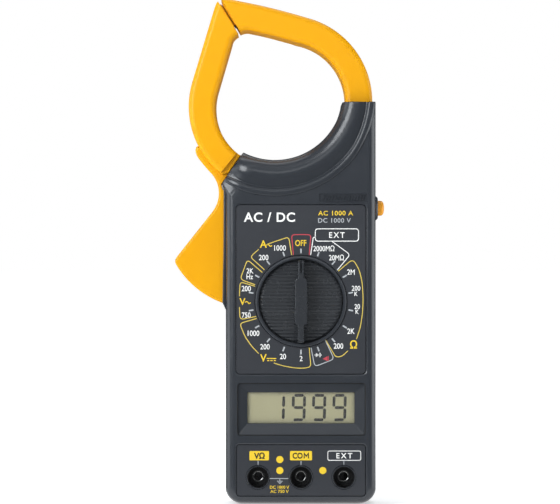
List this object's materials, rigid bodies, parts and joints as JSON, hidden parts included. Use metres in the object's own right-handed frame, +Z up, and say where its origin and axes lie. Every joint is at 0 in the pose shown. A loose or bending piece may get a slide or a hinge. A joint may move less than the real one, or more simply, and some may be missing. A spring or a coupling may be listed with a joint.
{
  "type": "clamp meter",
  "caption": "Hand-held clamp meter with a hinged split jaw worked by a trigger, a rotary range switch, a display, input sockets, a hold button and a battery door.",
  "frame": {"origin": "middle of the case's flat bottom end, in the plane through the middle of the jaws", "axes": "+Z up along the meter towards the jaws, the front face with the display looks along -Y, +X to the right as seen from the front"},
  "size_m": [0.095, 0.037, 0.23],
  "materials": {
    "case": "satin",
    "yellow": "satin",
    "panel": "matte",
    "knob": "satin",
    "window": "gloss",
    "display": "gloss",
    "board": "satin",
    "iron": "satin",
    "copper": "satin",
    "plating": "polished",
    "steel": "satin",
    "black": "satin",
    "bobbin": "satin",
    "rubber": "matte",
    "brass": "satin",
    "cell": "satin",
    "red": "satin",
    "blue": "satin"
  },
  "bodies": {
    "case": {"front_case": "case", "rear_case": "case", "rating_plate": "panel", "range_plate": "panel", "socket_plate": "panel", "display_window": "window", "display_glass": "display", "display_frame": "black", "contact_strip_upper": "rubber", "contact_strip_lower": "rubber", "main_board": "board", "converter_chip": "black", "buzzer_disc": "brass", "calibration_trimmer": "blue", "filter_capacitor_1": "blue", "filter_capacitor_2": "blue", "protection_resistor": "bobbin", "socket_volt_ohm": "plating", "socket_common": "plating", "socket_external": "plating", "hold_switch_body": "black", "fixed_jaw_front": "yellow", "fixed_jaw_rear": "yellow", "fixed_core": "iron", "coil_bobbin": "bobbin", "coil_winding": "copper", "pivot_pin": "steel", "jaw_return_spring": "steel", "battery": "cell", "battery_connector": "black", "battery_lead_red": "red", "battery_lead_black": "black", "coil_lead_1": "red", "coil_lead_2": "black", "case_screw_1": "steel", "case_screw_2": "steel", "case_screw_3": "steel", "case_screw_4": "steel"},
    "moving_jaw": {"moving_jaw_front": "yellow", "moving_jaw_rear": "yellow", "moving_core": "iron", "jaw_screw_1": "steel", "jaw_screw_2": "steel"},
    "knob": {"range_knob": "knob", "wiper_contact_1": "brass", "wiper_contact_2": "brass", "wiper_contact_3": "brass", "detent_ball_1": "steel", "detent_ball_2": "steel", "detent_spring_1": "steel", "detent_spring_2": "steel"},
    "button": {"hold_button": "yellow", "hold_plunger": "black"},
    "door": {"battery_door": "case", "battery_door_screw": "steel"}
  },
  "joints": [
    {"name": "jaw_pivot", "type": "hinge", "parent": "case", "child": "moving_jaw", "pos_m": [-0.02182, 0, 0.12988], "axis": [0, -1, 0], "range_deg": [0, 34.5], "stiffness_Nm_per_rad": 0.5, "springref_deg": -34.38, "deforming": ["jaw_return_spring"]},
    {"name": "range_knob_turn", "type": "hinge", "parent": "case", "child": "knob", "pos_m": [0, -0.0155, 0.0927], "axis": [0, -1, 0], "continuous": true},
    {"name": "hold_button_press", "type": "slide", "parent": "case", "child": "button", "axis": [-1, 0, 0], "range_m": [0, 0.002], "stiffness_N_per_m": 500, "springref_m": -0.001},
    {"name": "battery_door_lift", "type": "slide", "parent": "case", "child": "door", "axis": [0, 1, 0], "range_m": [0, 0.02]}
  ]
}
